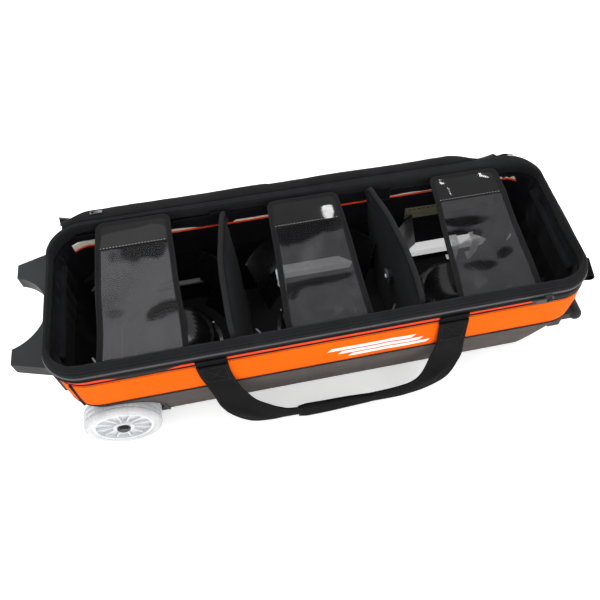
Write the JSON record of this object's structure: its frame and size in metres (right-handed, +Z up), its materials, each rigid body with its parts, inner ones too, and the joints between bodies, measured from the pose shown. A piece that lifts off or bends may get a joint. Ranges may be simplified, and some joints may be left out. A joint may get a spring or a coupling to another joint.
{
  "type": "rolling bowling bag",
  "caption": "Rolling bag for bowling balls: tapered soft body with cups, guards, dividers and clear straps, open lid, wheels, standing feet and a telescoping handle.",
  "frame": {"origin": "on the floor under the middle of the body, on the underside of the middle runner", "axes": "+X along the bag from the wheels to the pulling handle, +Y from the front wall to the lid's fold, +Z up with the bag lying on its back"},
  "size_m": [0.9631, 0.5358, 0.252],
  "materials": {
    "black_plastic": "moulded, fine texture",
    "hub_cap": "satin",
    "grey_cloth": "coated weave",
    "orange_cloth": "ballistic weave",
    "black_cord": "woven tape over cord",
    "red_strip": "woven",
    "zipper_cloth": "herringbone tape",
    "zipper_coil": "nylon coil",
    "rim_cloth": "padded weave",
    "lining_cloth": "brushed padded cloth",
    "floor_board": "board",
    "cream_board": "board",
    "gloss_plastic": "high gloss",
    "steel": "plated",
    "aluminium_tube": "anodised",
    "bright_steel": "bright plated",
    "webbing": "ribbed webbing",
    "clear_tyre": "clear cast urethane",
    "clear_hub": "milky moulding",
    "button_plastic": "satin",
    "lid_cloth": "ballistic weave",
    "clear_vinyl": "clear sheet",
    "zipper_metal": "dark plated"
  },
  "bodies": {
    "shell": {"base_tray": "black_plastic", "base_runners": "black_plastic", "lower_panels": "grey_cloth", "lower_piping": "black_cord", "side_panels": "orange_cloth", "corner_piping": "black_cord", "upper_piping": "black_cord", "recess_strip": "red_strip", "zipper_tape": "zipper_cloth", "zipper_coil": "zipper_coil", "rim": "rim_cloth", "lining": "lining_cloth", "floor_board": "floor_board", "wall_board": "cream_board", "board_binding": "orange_cloth", "perforated_strip": "cream_board", "divider_left": "lining_cloth", "divider_right": "lining_cloth", "ball_cup_left": "gloss_plastic", "ball_cup_middle": "gloss_plastic", "ball_cup_right": "gloss_plastic", "cup_screws": "steel", "side_guards": "gloss_plastic", "foot_bracket": "black_plastic", "bracket_screws": "steel", "end_tab": "webbing", "wheel_housings": "black_plastic", "wheel_axles": "steel", "outer_tubes": "aluminium_tube", "tube_clamps": "bright_steel", "clamp_rivets": "steel", "handle_bezels": "black_plastic"},
    "wheel_near": {"tyre_near": "clear_tyre", "hub_near": "clear_hub", "bearings_near": "steel", "hub_cap_near": "hub_cap"},
    "wheel_far": {"tyre_far": "clear_tyre", "hub_far": "clear_hub", "bearings_far": "steel", "hub_cap_far": "hub_cap"},
    "handle_middle": {"middle_tubes": "aluminium_tube", "middle_collars": "black_plastic"},
    "handle_inner": {"inner_tubes": "aluminium_tube", "handle_grip": "black_plastic"},
    "handle_button": {"release_button": "button_plastic", "push_rods": "steel"},
    "lid": {"lid_panel": "lid_cloth", "lid_lining": "lining_cloth", "lid_pocket": "lid_cloth", "lid_piping": "black_cord", "lid_zipper_tape": "zipper_cloth"},
    "carry_near": {"carry_handle_near": "webbing", "grip_wrap_near": "webbing"},
    "carry_far": {"carry_handle_far": "webbing", "grip_wrap_far": "webbing"},
    "strap_left": {"ball_strap_left": "clear_vinyl"},
    "strap_middle": {"ball_strap_middle": "clear_vinyl"},
    "strap_right": {"ball_strap_right": "clear_vinyl"},
    "slider": {"zipper_slider": "zipper_metal"},
    "pull": {"zipper_pull": "zipper_metal"}
  },
  "joints": [
    {"name": "wheel_near_spin", "type": "hinge", "parent": "shell", "child": "wheel_near", "pos_m": [-0.364, -0.1387, 0.0635], "axis": [0, 1, 0], "continuous": true},
    {"name": "wheel_far_spin", "type": "hinge", "parent": "shell", "child": "wheel_far", "pos_m": [-0.364, 0.1387, 0.0635], "axis": [0, 1, 0], "continuous": true},
    {"name": "handle_middle_slide", "type": "slide", "parent": "shell", "child": "handle_middle", "axis": [1, 0, 0], "range_m": [0, 0.2]},
    {"name": "handle_inner_slide", "type": "slide", "parent": "handle_middle", "child": "handle_inner", "axis": [1, 0, 0], "range_m": [0, 0.2]},
    {"name": "button_press", "type": "slide", "parent": "handle_inner", "child": "handle_button", "axis": [-1, 0, 0], "range_m": [0, 0.005], "stiffness_N_per_m": 600},
    {"name": "lid_hinge", "type": "hinge", "parent": "shell", "child": "lid", "pos_m": [0, 0.16, 0.25], "axis": [1, 0, 0], "range_deg": [0, 231]},
    {"name": "carry_near_swing", "type": "hinge", "parent": "shell", "child": "carry_near", "pos_m": [0, -0.153, 0.216], "axis": [-1, 0, 0], "range_deg": [0, 165]},
    {"name": "carry_far_swing", "type": "hinge", "parent": "shell", "child": "carry_far", "pos_m": [0, 0.153, 0.216], "axis": [1, 0, 0], "range_deg": [0, 25]},
    {"name": "strap_left_lift", "type": "hinge", "parent": "shell", "child": "strap_left", "pos_m": [0, -0.1225, 0.229], "axis": [-1, 0, 0], "range_deg": [-95, 0]},
    {"name": "strap_middle_lift", "type": "hinge", "parent": "shell", "child": "strap_middle", "pos_m": [0, -0.1225, 0.229], "axis": [-1, 0, 0], "range_deg": [-95, 0]},
    {"name": "strap_right_lift", "type": "hinge", "parent": "shell", "child": "strap_right", "pos_m": [0, -0.1225, 0.229], "axis": [-1, 0, 0], "range_deg": [-95, 0]},
    {"name": "slider_run", "type": "slide", "parent": "shell", "child": "slider", "axis": [-1, 0, 0], "range_m": [0, 0.68]},
    {"name": "pull_swing", "type": "hinge", "parent": "slider", "child": "pull", "pos_m": [0.344, -0.158, 0.2375], "axis": [0, 0, 1], "range_deg": [0, 180]}
  ]
}
